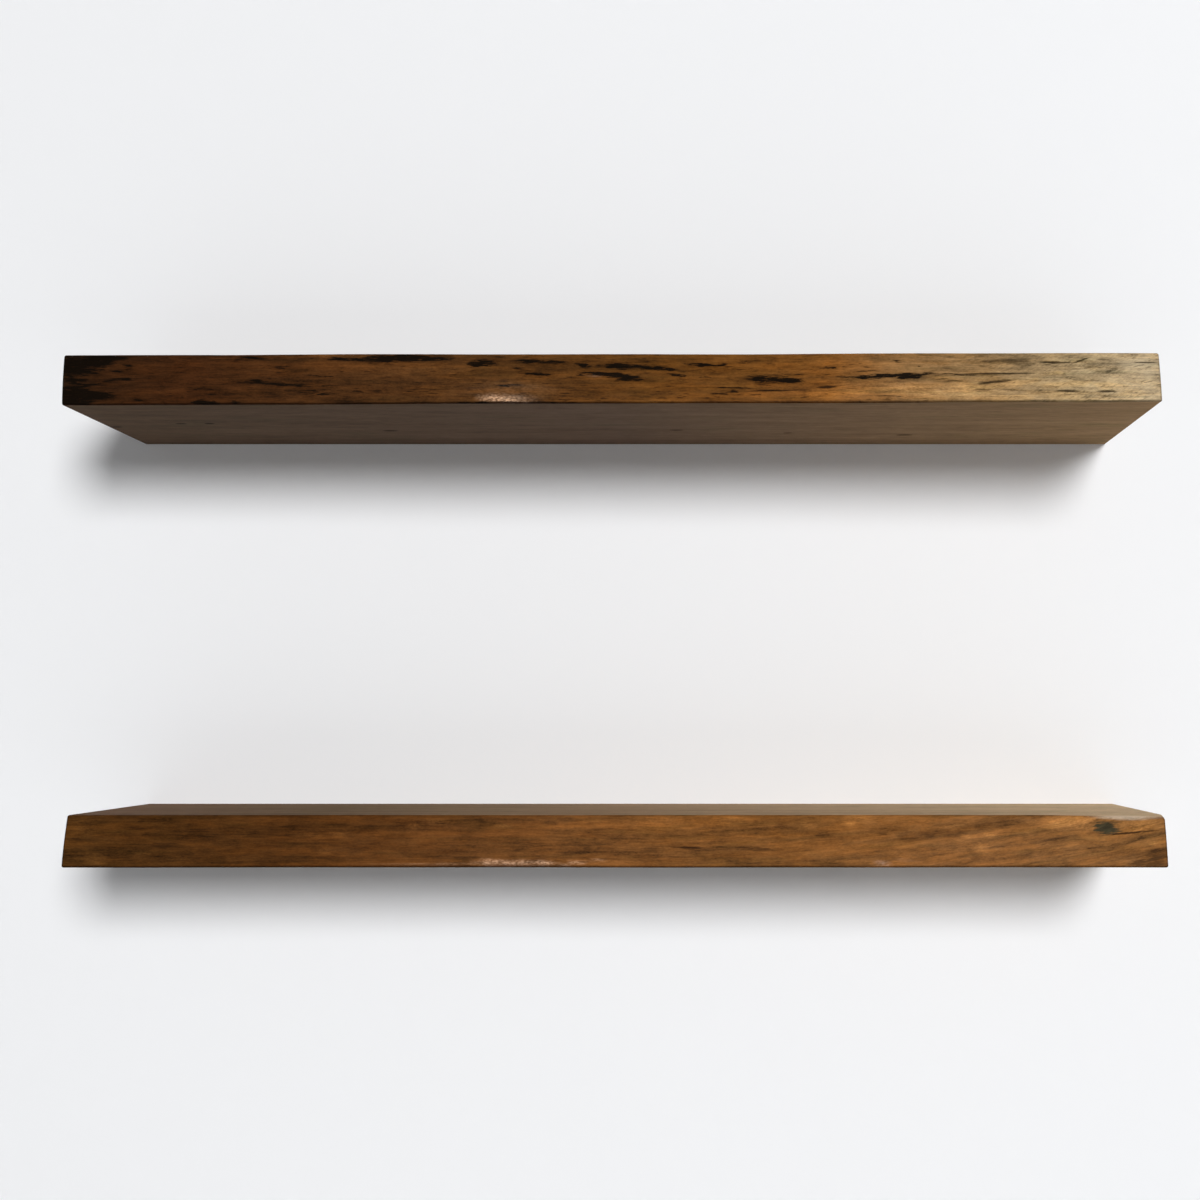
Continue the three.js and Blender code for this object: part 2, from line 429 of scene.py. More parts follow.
def addLamp(name, lamp):
    # the glint lamp shows in the lacquer alone, and throws no shadow of its own
    clearSelection()
    direction = Vector(lamp["aim"]) - Vector(lamp["place"])
    turn = direction.to_track_quat("-Z", "Y").to_euler()
    bpy.ops.object.light_add(type="AREA", location=lamp["place"], rotation=turn)
    light = bpy.context.active_object
    light.name = name
    light.data.shape = "DISK"
    light.data.size = lamp["size"]
    light.data.energy = lamp["power"]
    light.data.color = lamp["colour"]
    light.visible_diffuse = name != "glint"


addStage()
addSurround()
for lampName, lampSettings in lamps.items():
    addLamp(lampName, lampSettings)
bpy.context.scene.view_settings.view_transform = "Standard"
print("stage and lamps set")


# Wood

woodGrain = {  # how long the features are along X, Y and Z, in millimetres
    "band": (190, 14, 8),
    "smudge": (36, 14, 5.5),
    "cloud": (14, 11, 6.5),
    "fibre": (34, 2.8, 1.6),
    "fine": (8, 1.0, 0.55),
    "stipple": (2.4, 1.5, 1.0),
    "stroke": (7, 5, 1.5),
    "dash": (6, 4, 1.2),
    "mottle": (26, 9, 6),
    "streak": (11, 2.4, 1.15),
    "fleck": (11, 2.4, 1.0),
    "swerve": (260, 60, 60),
    "coolPatch": (70, 20, 5),
}

heart = {
    "out": 0.16,  # how far behind the wall the tree's middle lies
    "down": 0.055,  # and how far below a board's own
    "ring": (3.6, 3.6, 3.6),  # a year's growth in millimetres
    "swerve": 12 * mm,
}

# underside tones: painted shade darkens the underside's own colour, and the lighter right end is a painted
# reflection of the lit wall below
underShadeAndReflectionTones = [(0.0, tint(88, 72, 58)), (0.5, tint(101, 84, 71)), (1.0, tint(145, 118, 86))]
softStain = 0.5
slantFrom = 0.02  # how far right of the middle the figure starts to climb

channelFactors = {  # red, green, blue and alpha
    "warm": (1.16, 0.98, 0.66, 1),
    "cool": (0.84, 0.92, 0.88, 1),
    "glow": (2.0, 2.1, 2.2, 1),
}

woods = {
    "lower": {
        "height": 0.0,
        "edgeTones": [
            (0.0, tint(75, 47, 19)), (0.2, tint(77, 46, 18)), (0.36, tint(94, 58, 27)),
            (0.5, tint(117, 75, 37)), (0.66, tint(117, 76, 36)), (0.8, tint(129, 86, 46)),
            (1.0, tint(131, 89, 47)),
        ],
        # the planed top's colour, greyed and lightened towards the right end by a painted sheen
        "topTonesAndSheen": [
            (0.0, tint(116, 90, 71)), (0.22, tint(113, 92, 69)), (0.5, tint(158, 130, 101)),
            (1.0, tint(206, 178, 142)),
        ],
        "stainColour": tint(30, 15, 6),
        # the lower board's pale colour is a painted highlight along its brow
        "paleWoodAndHighlightColour": tint(228, 206, 178),
        "flecks": 0.2,
        "crispStain": 0.5,
        "slant": 0.22,  # how fast the figure climbs towards the right end
        "strokes": 0.0,  # slanting strokes towards the right end
        "knot": (0.4135, 0.0109, 0.0106, 0.0057),  # x, z and half sizes
        "cracks": [  # the same, and slope
            (0.432, 0.0068, 0.0185, 0.0006, 0.09), (0.066, -0.005, 0.0095, 0.0007, 0),
        ],
        "underFlecks": [  # x, y and half sizes
            (-0.31, -0.12, 0.007, 0.002), (0.1, -0.07, 0.009, 0.002), (0.24, -0.15, 0.005, 0.0015),
        ],
    },
    "upper": {
        "height": 0.385,
        "edgeTones": [
            (0.0, tint(45, 27, 13)), (0.12, tint(63, 35, 15)), (0.36, tint(84, 53, 25)),
            (0.55, tint(89, 56, 22)), (0.7, tint(121, 77, 33)), (0.84, tint(147, 117, 79)),
            (0.93, tint(175, 151, 113)), (1.0, tint(192, 169, 134)),
        ],
        # the planed top's colour, greyed and lightened towards the right end by a painted sheen
        "topTonesAndSheen": [(0.0, tint(104, 84, 68)), (0.5, tint(118, 98, 80)), (1.0, tint(150, 130, 106))],
        "stainColour": tint(8, 4, 1),
        # the upper board's pale colour is its pale sapwood at the right end, lightened further by a painted
        # sheen
        "paleWoodAndHighlightColour": tint(206, 186, 152),
        "flecks": 0.7,
        "crispStain": 1.0,
        "slant": 0.0,
        "strokes": 1.0,
        "knot": None,
        "cracks": [
            (0.321, 0.388, 0.028, 0.0006, 0), (0.3195, 0.3809, 0.0125, 0.0009, 0.1),
            (0.378, 0.3727, 0.009, 0.0008, -0.05), (0.41, 0.3724, 0.0065, 0.0008, 0),
            (0.369, 0.3979, 0.0105, 0.0009, 0), (0.39, 0.3992, 0.006, 0.0007, 0.35),
            (0.4445, 0.3975, 0.0085, 0.0006, 0), (-0.08, 0.3793, 0.0085, 0.0006, 0),
            (0.135, 0.3741, 0.022, 0.0006, 0.02), (0.18, 0.3772, 0.007, 0.0009, 0.05),
        ],
        "underFlecks": [
            (-0.387, -0.110, 0.006, 0.0022), (-0.362, -0.111, 0.005, 0.0022), (-0.209, -0.074, 0.007, 0.0024),
            (0.050, -0.078, 0.007, 0.0022), (0.151, -0.063, 0.004, 0.0018), (0.260, -0.052, 0.007, 0.0026),
            (-0.450, -0.094, 0.006, 0.0026),
        ],
    },
}


def lacqueredWood(name, wood, low, high):
    # the plain numbers are a pattern's strength in the mix, or the two levels that a step runs between
    wax = Finish(name + "Lacquer")
    x, y, z = wax.axes(wax.place)
    normalX, normalY, normalZ = wax.facing()
    edge = wax.step(-normalY, 0.1, 0.38)
    ends = wax.step(normalX.size(), 0.7, 0.95)
    along = (x - low.x) * (1 / (high.x - low.x))
    stain = wax.attribute("stain") * edge
    glow = wax.attribute("glow") * edge
    # pale marks: a painted highlight on the lower board's brow, and pale sapwood with a painted sheen at the
    # upper board's right end
    pale = wax.attribute("pale") * wax.step(-normalY, 0.02, 0.2)  # it runs over the brow's round too

    rise = (x - slantFrom).most(0.0)
    flow = z - rise * rise * edge * wood["slant"]
    if wood["knot"]:
        knotX, knotZ, halfLength, halfHeight = wood["knot"]
        spikes = wax.noise((8, 30, 1.1), detail=3.0) - 0.5
        nearKnot = wax.distance(x, z, (knotX, knotZ), (halfLength, halfHeight)) + spikes * 1.9
        flow = flow - (z - knotZ) * (1.0 - wax.step(nearKnot, 0.6, 3.4)) * 0.55
    leaned = wax.join(x, y, flow)

    def grain(kind, **settings):
        # swings evenly about 0, mostly within a fifth of 1
        return wax.noise(woodGrain[kind], place=leaned, **settings) - 0.5

    band = grain("band", detail=2.0)
    smudge = grain("smudge", detail=3.0, shift=(2, 8, 1), warp=0.8)
    cloud = grain("cloud", detail=3.0, shift=(5, 3, 8), warp=0.8)
    fibre = grain("fibre", detail=4.0, warp=0.4)
    fine = grain("fine", detail=2.0)
    stipple = grain("stipple", detail=2.0)
    mottle = grain("mottle", detail=3.0, warp=0.6)
    streak = grain("streak", detail=5.0, rough=0.65, shift=(3, 1, 5), warp=0.3)
    fleckGrain = grain("fleck", detail=2.0, shift=(7, 2, 1))
    paleEnd = wax.step(along, 0.78, 0.88) * edge * wood["strokes"]
    stroke = wax.noise(woodGrain["stroke"], place=wax.join(x, y, z - x * 0.6), detail=3.0) - 0.5
    dash = wax.noise(woodGrain["dash"], place=wax.join(x, y, z - x * 0.3), detail=3.0) - 0.5

    back = y - heart["out"]
    up = z - (wood["height"] - heart["down"])
    swerve = grain("swerve", detail=1.0) * heart["swerve"]
    radius = (back * back + up * up).root() + swerve + mottle * 0.6 * mm
    ring = (wax.noise(heart["ring"], place=wax.join(radius, 0.0, 0.0), detail=3.0) - 0.5) * 2.4

    under = wax.step(-normalZ, 0.3, 0.7)
    # the planed faces' tones hold painted shade and a painted reflection underneath, and a painted sheen on
    # top
    planed = wax.mix(under, wax.ramp(along, wood["topTonesAndSheen"]), wax.ramp(along, underShadeAndReflectionTones))
    colour = wax.mix(edge, planed, wax.ramp(along, wood["edgeTones"]))
    warmth = wax.step(mottle * 0.6 + band * 0.4, -0.08, 0.1) * edge
    colour = wax.tinge(warmth * 0.36, colour, "warm")
    cool = wax.step(grain("coolPatch", detail=2.0, shift=(9, 4, 2)), 0.04, 0.18)
    colour = wax.tinge(cool * 0.5, colour, "cool")
    glow = glow * (1.0 + streak * 2.0 + stipple)
    colour = wax.tinge(glow, colour, "glow")
    figure = band * (0.5 + edge * 0.9) + smudge * (0.4 + edge) + cloud * edge * 0.9
    level = 1.0 + figure + stroke * paleEnd * 0.7
    level = level + fibre * (0.7 + edge * 0.25) + fine * 0.7 + stipple * 0.8 * edge
    level = level + ring * (0.1 + ends * 0.4)
    level = level * (1.0 - stain * softStain) * (1.0 - ends * 0.28)
    # foot: painted shade on the foot's ease, which faces down; rim: the front made darker within about 2 mm
    # of each end
    foot = 1.0 - wax.step(z - low.z, 0.9 * mm, 2.3 * mm)
    rim = wax.step((low.x - x).most(x - high.x), -2.2 * mm, -0.6 * mm)
    level = level * (1.0 - foot * edge * 0.65) * (1.0 - rim * edge * 0.4)
    colour = wax.shade(colour, level)

    # mixes in the pale colour, which is a painted highlight on the lower brow and pale sapwood with painted
    # sheen on the upper board
    paleWoodAndHighlightShare = wax.step(pale + (streak + fine) * pale, 0.15, 1.1)
    colour = wax.mix(paleWoodAndHighlightShare * 0.85, colour, wood["paleWoodAndHighlightColour"])
    flecks = wax.step(fleckGrain + mottle * 0.5, 0.1, 0.24) * edge * wood["flecks"]
    frayed = stain + (streak * 2.8 + fine) * (stain + 0.25)
    spalt = wax.step(frayed, 0.33, 0.58) * wood["crispStain"]
    dashes = wax.step(dash + mottle * 0.4, 0.09, 0.2) * paleEnd * 0.5
    dark = (spalt.most(flecks) * (1.0 - paleEnd * 0.5)).most(dashes)
    for crackX, crackZ, halfLength, halfHeight, slope in wood["cracks"]:
        lifted = z - (x - crackX) * slope
        near = wax.distance(x, lifted, (crackX, crackZ), (halfLength, halfHeight)) + streak * 3.0
        dark = dark.most((1.0 - wax.step(near, 0.6, 1.6)) * edge * 0.85)
    for fleckX, fleckY, halfLength, halfWidth in wood["underFlecks"]:
        near = wax.distance(x, y, (fleckX, fleckY), (halfLength, halfWidth)) + mottle * 2.0
        dark = dark.most((1.0 - wax.step(near, 0.7, 1.1)) * under * 0.9)
    if wood["knot"]:
        knotColour = wax.shade(tint(52, 50, 35), 1.0 + streak * 2.0 + fine * 1.5)
        colour = wax.mix((1.0 - wax.step(nearKnot, 0.65, 1.2)) * edge * 0.95, colour, knotColour)
    colour = wax.mix(dark * 0.97, colour, wax.shade(wood["stainColour"], 1.0 + fine * 2.0 + streak))

    roughness = 0.86 - edge * 0.44 + fibre * 0.3 + fine * 0.2 + spalt * 0.08
    relief = fibre * 0.5 + fine * 0.3 + stipple * 0.3 * edge + streak * 0.4 * edge - spalt * 0.35
    normal = wax.bump(relief, 0.45, 0.6 * mm)
    sockets = {"Base Color": colour, "Roughness": roughness, "Normal": normal, "Specular IOR Level": 0.02}
    sparkle = 0.2 + wax.step(stipple + fine * 0.6, -0.14, 0.16) * 0.8
    shine = wax.attribute("shine") * edge * sparkle
    sockets.update({"Coat Weight": shine, "Coat Roughness": 0.27, "Coat IOR": 1.6})
    return wax.principled(sockets)


def rawWood():
    # unfinished wood: the sawn back, the routed channel and the drilled bores
    saw = Finish("rawWood")
    fibre = saw.noise((30, 2.2, 1.2), detail=4.0)
    fuzz = saw.noise((5, 1.2, 0.8), detail=2.0)
    chatter = saw.noise((2.2, 2.2, 60), detail=1.0)
    colour = saw.shade(tint(142, 106, 72), 0.62 + fibre * 0.5 + fuzz * 0.25 + chatter * 0.1)
    relief = saw.bump(fibre * 0.5 + fuzz * 0.4 + chatter * 0.4, 0.5, 0.4 * mm)
    return saw.principled({"Base Color": colour, "Roughness": 0.72 + fuzz * 0.15, "Normal": relief})


# Boards

boardShape = {
    "depth": 203 * mm,  # as far as the foot, before it wanders
    "frontEase": 1.7 * mm,
    "backEase": 0.8 * mm,
    "easeSteps": 4,
    "crossCuts": 560,  # along the board
    "faceCuts": 30,  # up the front face
    "planeCuts": 24,  # across top and underside
    "faceBow": 1.0 * mm,
    "swell": (520 * mm, 1.1 * mm),  # span and height of the natural edge's long waves
    "ripple": (210 * mm, 0.6 * mm),
    "roundFrom": 0.88,  # share of the length where the brow's wider round begins
    "longEdge": 800 * mm,  # edges longer than this run along the board
    "deepEdge": 150 * mm,  # from front to back
    "uprightEdge": 30 * mm,  # up the face or the back
    "frontZone": 20 * mm,
    "shapedDepth": 60 * mm,  # the natural edge fades out this far behind the face
    "bumpDepth": 4 * mm,
    "skin": 1 * mm,
    "cornerReach": 1 * mm,
    "backFacing": 0.9,  # a face turned this far to the wall is bare
    "endFade": 0.006,  # share of the length without bumps at each end
    "crease": 35,  # degrees
    "bumps": [  # length, height across and depth of the hand-sanded unevenness
        (48 * mm, 15 * mm, 0.5 * mm),
        (13 * mm, 5.5 * mm, 0.2 * mm),
        (4.5 * mm, 2.6 * mm, 0.07 * mm),
    ],
}

# Marks are (along from the left end, up from the underside, length, height, strength), in millimetres, and
# one that isn't level has its slope as a sixth number. They were read square to the picture, and markLift is
# what the lean takes off their height at the left and right ends.
boards = {
    "lower": {
        "wander": (0.5 * mm, 0.5 * mm),
        "lean": (13 * mm, 13 * mm),
        "rightRound": 8 * mm,
        "phases": (0.4, 1.9),
        "markLift": (-1, -1),
        "stains": [
            (12, 22, 18, 3.6, 0.5), (36, 13, 26, 5, 0.4), (62, 31.5, 36, 3.6, 0.5),
            (112, 29.5, 38, 5, 0.48), (84, 17.5, 34, 6, 0.55), (169, 3.5, 13, 4, 0.35),
            (194, 40.6, 40, 5, 0.44), (195, 33, 24, 3, 0.4), (226, 33.5, 10, 5, 0.48),
            (257, 33, 13, 2.2, 0.45, 0.15), (261, 38.5, 18, 6.5, 0.42), (210, 15, 11, 3.5, 0.45),
            (257, 16.5, 42, 5, 0.42), (333, 6, 20, 4, 0.45, 0.03), (338, 22, 7, 13, 0.3, -0.2),
            (347, 33, 15, 6, 0.33), (332, 0.8, 28, 1.6, 0.5), (403, 25.5, 22, 4, 0.3), (410, 6, 22, 5, 0.4),
            (425, 6.5, 15, 3, 0.35), (441, 29.5, 13, 7, 0.45), (458, 30.5, 25, 5, 0.4),
            (463, 25.5, 10, 6, 0.4), (490, 15, 26, 6, 0.42, 0.02), (522, 15.5, 19, 2.2, 0.8),
            (508, 16, 15, 1.8, 0.5), (544, 16, 13, 1.8, 0.5), (568, 15, 32, 6, 0.42),
            (588, 13.8, 50, 4.5, 0.45), (504, 2.5, 18, 3, 0.45), (512, 42, 17, 1.6, 0.4),
            (603, 31, 11, 7, 0.28), (632, 26, 25, 5, 0.55, 0.1), (643, 39, 9, 3, 0.4),
            (655, 19, 15, 2, 0.35), (684, 26.5, 6, 3, 0.6, 0.1), (698, 22.5, 26, 5, 0.42, 0.08),
            (728, 26, 44, 8.5, 0.45, 0.13), (630, 4, 15, 3.2, 0.38), (642, 2.4, 30, 2.6, 0.4),
            (747, 3, 13, 2.2, 0.45, 0.05), (745, 42, 17, 1.8, 0.5), (720, 9, 10, 4, 0.3),
            (778, 34.5, 64, 8.5, 0.42, 0.12), (783, 16.3, 10, 1.4, 0.45, 0.05),
            (826, 21.5, 32, 9.5, 0.45, 0.15), (854, 14, 15, 3, 0.35, 0.1), (904, 28, 15, 4, 0.4, 0.1),
            (889, 4.5, 9, 6.5, 0.5, 0.3), (909, 8, 24, 15, 0.9, 0.2), (900, 2, 40, 2.5, 0.5),
        ],
        "glows": [
            (31, 3, 9, 3, 0.7), (29, 9.5, 7, 3, 0.5), (7, 7, 8, 5, 0.35), (20, 7, 24, 8, 0.35),
            (66, 11, 4.5, 6, 0.6, 0.6), (96, 6, 14, 5, 0.35), (14, 29, 14, 13, 0.22),
            (168, 35.5, 7, 3, 0.4), (206, 25.5, 8, 6, 0.5), (222, 11.5, 6, 5, 0.85),
            (219, 12.5, 14, 8, 0.3), (231, 25.5, 9, 4, 0.5), (293, 32.5, 8, 6.5, 0.65),
            (312, 37, 17, 5, 0.45), (361, 33, 9, 3.4, 0.55), (494, 38, 32, 7, 0.3),
            (554, 38.5, 36, 6, 0.25), (552, 34, 12, 4, 0.35), (616, 33.5, 8, 4, 0.4),
            (654, 34.5, 11, 5, 0.7), (663, 40, 16, 6.5, 0.6), (742, 33, 15, 2.4, 0.5, 0.15),
            (750, 23, 12, 4, 0.5, 0.25), (761, 15.5, 6, 6, 0.6), (772, 25.5, 12, 4, 0.4, 0.1),
            (838, 37, 34, 12, 0.38), (822, 32, 8, 5, 0.4), (850, 36, 60, 14, 0.35), (908, 19, 8, 4.5, 0.4),
            (898, 34, 38, 11, 0.55),
        ],
        # the lower brow's pale marks are a painted highlight
        "pales": [(890, 42, 56, 6, 1), (888, 39.8, 62, 5, 0.6)],
        "shines": [
            (358, 2.6, 22, 5.4, 1), (376, 2.2, 28, 5, 1), (399, 2.3, 16, 4.6, 1),
            (424, 1.6, 12, 3.2, 0.85, 0.3), (443, 4.9, 13, 1.6, 0.35, 0.1), (680, 2.6, 7, 3.6, 0.65),
            (703, 5, 9, 2, 0.3), (310, 1.6, 110, 1.8, 0.22),
        ],
    },
    "upper": {
        "wander": (-5.5 * mm, 9 * mm),
        "lean": (5 * mm, 12 * mm),
        "rightRound": 2.5 * mm,
        "phases": (2.6, 3.8),
        "markLift": (0, 2.3),
        "stains": [
            (12, 33, 42, 19, 1), (38, 40.5, 36, 4.5, 1), (30, 37, 26, 6, 0.9), (55, 34, 12, 3.5, 0.8),
            (44, 29, 8, 4, 0.85), (12, 21, 26, 5, 0.5), (22, 17, 28, 3.5, 0.7, 0.08),
            (42, 20.5, 12, 3.5, 0.85), (53, 22, 13, 3, 0.9), (72, 22.5, 26, 2.2, 0.4), (8, 9, 26, 18, 1),
            (27, 8, 36, 8.5, 1), (14, 2.5, 22, 5, 0.8), (66, 4.5, 12, 3.2, 0.85, 0.06),
            (118, 2.2, 30, 4, 0.7, -0.03), (123, 1.8, 17, 3.2, 0.95, -0.03), (146, 2, 6, 3.5, 0.7),
            (115, 14, 18, 5, 0.45), (130, 9, 42, 10, 0.33), (127, 42, 26, 2, 0.8),
            (158, 40.6, 24, 2.8, 0.9, -0.08), (175, 37.5, 7, 2, 0.5), (143, 30, 10, 2, 0.5),
            (184, 31.5, 10, 2.8, 0.8, -0.12), (181, 27.5, 5, 2, 0.5), (172, 23, 9, 2, 0.5),
            (163, 19.5, 24, 4, 0.75, -0.05), (190, 16.8, 34, 3, 0.6, -0.06), (193, 42.6, 18, 1.6, 0.7),
            (231, 38.9, 24, 2.4, 0.9), (248, 38.4, 20, 3, 0.9), (280, 39.8, 54, 6.5, 0.98),
            (314, 39.5, 32, 5, 0.7), (268, 36.8, 16, 2, 0.5), (353, 36, 25, 6, 0.8), (347, 34, 12, 3, 0.85),
            (363, 41, 26, 2.4, 0.5), (209, 26, 11, 1.8, 0.6), (222, 24, 30, 2, 0.4),
            (202, 17.5, 4, 3, 0.55), (208, 11, 62, 9, 0.4), (245, 12, 24, 4, 0.4, -0.03),
            (274, 12, 10, 4, 0.35), (289, 11.4, 12, 1.6, 0.5, -0.05), (308, 14.5, 15, 1.4, 0.5),
            (332, 15, 10, 2, 0.65), (371, 16.5, 30, 2, 0.7), (338, 0.9, 38, 1.6, 0.7),
            (354, 1.8, 8, 3, 0.9), (388, 37, 30, 5, 0.62), (408, 36.5, 40, 4, 0.55),
            (380, 31.3, 14, 2, 0.65), (412, 40, 7, 2, 0.75), (434, 34, 9, 4.5, 0.85),
            (466, 33, 44, 5, 0.96, -0.04), (497, 31.6, 24, 4.2, 0.95, -0.04),
            (514, 29.6, 20, 2.4, 0.6, -0.06), (489, 38, 11, 2.6, 0.5), (509, 41, 7, 2, 0.6),
            (432, 25.8, 16, 5, 0.6), (450, 27, 30, 3, 0.95, -0.03), (468, 23.6, 32, 5, 0.97, -0.06),
            (477, 22.4, 14, 4.5, 0.9), (397, 26, 24, 6, 0.68, -0.03), (423, 23, 15, 2, 0.45),
            (533, 34.5, 32, 3.6, 0.95, -0.04), (552, 35.3, 14, 4.5, 0.5), (512, 25, 16, 3.4, 0.88, -0.1),
            (541, 27, 22, 2.4, 0.45), (536, 23.8, 18, 1.8, 0.45), (556, 14.4, 36, 2, 0.7),
            (548, 9.6, 12, 3.6, 0.92), (562, 11.6, 17, 1.6, 0.6), (546, 5, 9, 2.4, 0.55),
            (564, 8.8, 10, 1.5, 0.5), (400, 2, 22, 2.2, 0.65), (426, 1, 30, 1.6, 0.6),
            (441, 4.5, 6, 2, 0.4), (573, 36.8, 20, 2.5, 0.62), (604, 33, 10, 1.6, 0.5),
            (640, 32, 20, 2.6, 0.7), (585, 21.9, 30, 6.2, 0.98), (607, 21, 28, 4.2, 0.9, -0.02),
            (600, 24.6, 16, 2, 0.5), (614, 26.5, 14, 2.2, 0.65, 0.08), (570, 14.5, 9, 2, 0.6),
            (587, 12.8, 30, 2.2, 0.65, -0.02), (612, 12.7, 10, 1.4, 0.4), (638, 15, 16, 2.4, 0.68, 0.08),
            (652, 10.4, 6, 1.4, 0.5), (656, 23.8, 22, 2, 0.8), (670, 23.7, 16, 2.8, 0.85),
            (684, 25, 22, 4, 0.95, 0.02), (703, 24.6, 25, 5.8, 0.95), (727, 26.2, 34, 3.4, 0.62),
            (752, 25.4, 28, 2.6, 0.6), (696, 36.8, 14, 3, 0.55), (729, 36, 14, 2, 0.5),
            (713, 33.3, 14, 2, 0.5), (667, 33.8, 11, 1.5, 0.35), (743, 20, 16, 2.3, 0.68),
            (687, 2, 7, 2, 0.5), (764, 12.2, 22, 2.4, 0.66), (787, 12.8, 16, 2, 0.55),
            (781, 9.5, 10, 2, 0.45), (769, 6, 8, 2, 0.5), (754, 6, 8, 1.6, 0.5), (780, 37.3, 40, 4.5, 0.62),
            (797, 38, 24, 6, 0.7), (764, 40.6, 7, 2.6, 0.65), (796, 41.6, 12, 1.6, 0.5),
            (777, 26.2, 58, 2.2, 0.62, 0.03), (771, 18.8, 16, 3, 0.78, 0.08), (786, 19.3, 11, 1.6, 0.5),
            (814, 20, 4, 2, 0.5), (824, 36.5, 11, 1.8, 0.58), (823, 34, 16, 2, 0.55),
            (842, 35.4, 6, 2, 0.65, 0.45), (845, 41, 30, 1.6, 0.4), (866, 40, 14, 3, 0.5),
            (870, 38, 10, 2.4, 0.66), (902, 35.5, 17, 2, 0.5), (852, 25, 9, 1.6, 0.5),
            (862, 24.8, 9, 1.8, 0.55), (878, 26.5, 18, 1.6, 0.4), (866, 19.8, 13, 2.6, 0.62),
            (853, 20.5, 26, 1.6, 0.4), (825, 14.4, 5, 2, 0.68, -0.3), (838, 11.4, 17, 2, 0.75, -0.03),
            (867, 10.7, 12, 1.8, 0.7), (905, 10.3, 12, 3, 0.5), (907, 26.5, 6, 2, 0.4),
            (907, 15.5, 6, 2, 0.4),
        ],
        "glows": [
            (223, 41.6, 26, 3, 1), (248, 41.4, 14, 2.4, 0.7), (502, 2.5, 44, 2.6, 0.9),
            (480, 16.5, 30, 3, 0.35), (300, 30, 90, 6, 0.25), (380, 10, 60, 10, 0.3), (640, 9, 60, 8, 0.35),
            (690, 14, 60, 9, 0.5), (722, 9, 40, 12, 0.4), (748, 13, 26, 12, 0.4), (760, 10, 60, 10, 0.3),
        ],
        # the upper right end's pale marks are pale sapwood with a painted sheen
        "pales": [
            (895, 36, 40, 16, 0.7), (851, 28, 30, 9, 0.4), (905, 22, 20, 38, 0.6), (825, 22, 30, 8, 0.3),
        ],
        "shines": [
            (367, 6, 26, 7, 0.87), (380, 4, 30, 8, 0.45), (356, 4.2, 8, 2.5, 0.7),
            (443, 24.9, 11, 1.6, 0.7, -0.08), (493, 34.8, 5, 1.4, 0.5), (370, 14, 60, 12, 0.2),
        ],
    },
}


def blockOut(name, board):
    # a block with its four front corners drawn out to the foot and in to the brow
    low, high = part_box(name + "_slab")
    centre, size, depth = (low + high) / 2, high - low, boardShape["depth"]
    place = (centre.x, -depth / 2, centre.z)
    block = addShape("cube", name + "_board", (size.x, depth, size.z), size=1, location=place)
    edit(block)
    for side, wander, lean in zip((-1, 1), board["wander"], board["lean"]):
        for up in (-1, 1):
            outward = wander - lean if up > 0 else wander
            corner = Vector((centre.x + side * size.x / 2, -depth, centre.z + up * size.z / 2))
            pick(block, "VERT", lambda v: (v.co - corner).length < boardShape["cornerReach"])
            bpy.ops.transform.translate(value=(0, -outward, 0))
    leaveEdit()
    return block


def easeEdges(block):
    edit(block)
    pick(block, "EDGE", lambda e: middle(e).y > -boardShape["backEase"])
    bpy.ops.transform.edge_bevelweight(value=boardShape["backEase"] / boardShape["frontEase"])
    pick(block, "EDGE", lambda e: middle(e).y < -boardShape["backEase"])
    bpy.ops.transform.edge_bevelweight(value=1)
    leaveEdit()
    steps = boardShape["easeSteps"]
    applyModifier(block, "BEVEL", width=boardShape["frontEase"], segments=steps, limit_method="WEIGHT")


def cutFiner(block):
    # cross cuts along the board first, then rows up the face and over the planed sides
    edit(block)
    pick(block, "EDGE", lambda e: abs(span(e).x) > boardShape["longEdge"])
    bpy.ops.mesh.subdivide(number_cuts=boardShape["crossCuts"])
    front = -boardShape["depth"] + boardShape["frontZone"]
    pick(block, "EDGE", lambda e: abs(span(e).z) > boardShape["uprightEdge"] and middle(e).y < front)
    bpy.ops.mesh.subdivide(number_cuts=boardShape["faceCuts"])
    pick(block, "EDGE", lambda e: abs(span(e).y) > boardShape["deepEdge"])
    bpy.ops.mesh.subdivide(number_cuts=boardShape["planeCuts"])
    leaveEdit()


def wave(x, phase):
    swellSpan, swellHeight = boardShape["swell"]
    rippleSpan, rippleHeight = boardShape["ripple"]
    swell = swellHeight * math.sin(2 * math.pi * x / swellSpan + phase)
    return swell + rippleHeight * math.sin(2 * math.pi * x / rippleSpan + 2 * phase)


def unevenness(place):
    total = 0
    for length, height, depth in boardShape["bumps"]:
        total += depth * noise.noise(Vector((place.x / length, place.y / length, place.z / height)))
    return total


def faceOut(board, low, high, place):
    # how far out the plain leaning face stands at a place
    along = (place.x - low.x) / (high.x - low.x)
    up = (place.z - low.z) / (high.z - low.z)
    return boardShape["depth"] + blend(*board["wander"], along) - blend(*board["lean"], along) * up


